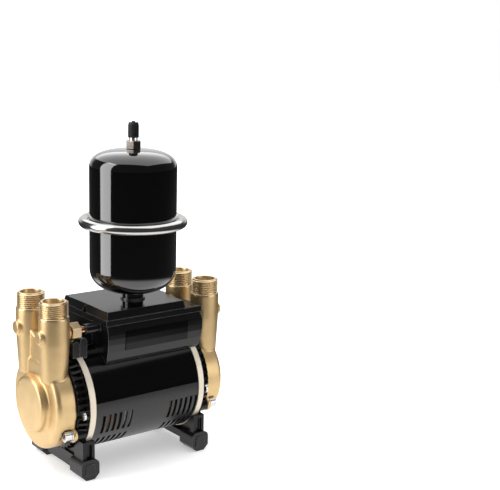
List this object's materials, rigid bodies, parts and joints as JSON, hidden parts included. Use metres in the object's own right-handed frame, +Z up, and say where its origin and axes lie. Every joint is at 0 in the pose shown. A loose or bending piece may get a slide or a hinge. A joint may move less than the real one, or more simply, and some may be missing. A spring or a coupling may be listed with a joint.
{
  "type": "shower pump",
  "caption": "Twin-ended shower pump: cowled motor on rubber feet, a brass pump head on each end, terminal box and small pressure vessel on top.",
  "frame": {"origin": "on the floor under the middle of the object's bounding box; the shaft runs 67 mm above it and 10.4 mm behind it", "axes": "+X along the motor shaft to the right-hand pump head, -Y to the front, +Z up to the pressure vessel"},
  "size_m": [0.2012, 0.1248, 0.3265],
  "materials": {
    "cast_brass": "smooth satin casting",
    "machined_brass": "turned, bright",
    "copper": "drawn tube and enamelled wire, satin",
    "gloss_black_plastic": "gloss",
    "satin_black_plastic": "satin",
    "grey_black_plastic": "satin, slightly grained",
    "vessel_enamel": "high gloss enamel",
    "polished_steel": "polished",
    "strap_steel": "rolled strip, satin",
    "zinc_steel": "zinc plated",
    "bearing_steel": "ground",
    "lamination_steel": "stacked sheet",
    "rotor_aluminium": "cast cage on steel sheets",
    "rubber_black": "moulded, matte",
    "seal_ceramic": "lapped",
    "seal_carbon": "lapped",
    "white_plastic": "satin",
    "board_green": "lacquered board",
    "switch_grey": "satin"
  },
  "bodies": {
    "frame": {"cowl_upper": "gloss_black_plastic", "cowl_lower": "grey_black_plastic", "strap_left": "strap_steel", "strap_right": "strap_steel", "bracket_left": "satin_black_plastic", "bracket_right": "satin_black_plastic", "stator_core": "lamination_steel", "stator_windings": "copper", "tie_screws": "zinc_steel", "bearing_outer_left": "bearing_steel", "bearing_outer_right": "bearing_steel", "foot_front_left": "rubber_black", "foot_front_right": "rubber_black", "foot_back_left": "rubber_black", "foot_back_right": "rubber_black", "pump_body_left": "cast_brass", "pump_body_right": "cast_brass", "back_plate_left": "cast_brass", "back_plate_right": "cast_brass", "body_seals": "rubber_black", "seal_seat_left": "seal_ceramic", "seal_seat_right": "seal_ceramic", "pump_screws_left": "zinc_steel", "pump_screws_right": "zinc_steel", "float_stops": "bearing_steel", "link_nut": "machined_brass", "link_pipe": "copper", "vessel_tee": "machined_brass", "pressure_switch": "switch_grey", "box_base": "satin_black_plastic", "box_lid": "satin_black_plastic", "vessel_plate": "satin_black_plastic", "lid_screws": "zinc_steel", "name_panel": "grey_black_plastic", "circuit_board": "board_green", "run_capacitor": "white_plastic", "cable_gland": "satin_black_plastic", "lead_grommet": "rubber_black", "vessel_lower": "vessel_enamel", "vessel_upper": "vessel_enamel", "vessel_diaphragm": "rubber_black", "clamp_ring": "polished_steel", "neck_clip": "polished_steel", "valve_nut": "zinc_steel", "valve_stem": "machined_brass"},
    "rotor": {"shaft": "bearing_steel", "rotor_core": "rotor_aluminium", "impeller_left": "machined_brass", "impeller_right": "machined_brass", "impeller_nuts": "zinc_steel", "bearing_inner_left": "bearing_steel", "bearing_inner_right": "bearing_steel", "seal_head_left": "seal_carbon", "seal_head_right": "seal_carbon"},
    "balls_left": {"balls_left": "bearing_steel"},
    "balls_right": {"balls_right": "bearing_steel"},
    "float_left": {"float_left": "white_plastic"},
    "float_right": {"float_right": "white_plastic"},
    "valve_pin": {"valve_pin": "machined_brass"},
    "valve_cap": {"valve_cap": "rubber_black"}
  },
  "joints": [
    {"name": "rotor_spin", "type": "hinge", "parent": "frame", "child": "rotor", "pos_m": [0, 0.0104, 0.067], "axis": [1, 0, 0], "continuous": true},
    {"name": "balls_left_spin", "type": "hinge", "parent": "frame", "child": "balls_left", "pos_m": [-0.0472, 0.0104, 0.067], "axis": [1, 0, 0], "continuous": true},
    {"name": "balls_right_spin", "type": "hinge", "parent": "frame", "child": "balls_right", "pos_m": [0.0472, 0.0104, 0.067], "axis": [1, 0, 0], "continuous": true},
    {"name": "float_left_lift", "type": "slide", "parent": "frame", "child": "float_left", "axis": [0, 0, 1], "range_m": [0, 0.009]},
    {"name": "float_right_lift", "type": "slide", "parent": "frame", "child": "float_right", "axis": [0, 0, 1], "range_m": [0, 0.009]},
    {"name": "valve_pin_press", "type": "slide", "parent": "frame", "child": "valve_pin", "axis": [0, 0, -1], "range_m": [0, 0.0012], "stiffness_N_per_m": 2000, "springref_m": -0.0003},
    {"name": "valve_cap_lift", "type": "slide", "parent": "frame", "child": "valve_cap", "axis": [0, 0, 1], "range_m": [0, 0.011]}
  ],
  "couplings": [
    {"joint": "balls_left_spin", "follows": "rotor_spin", "ratio": 0.36818},
    {"joint": "balls_right_spin", "follows": "rotor_spin", "ratio": 0.36818}
  ]
}
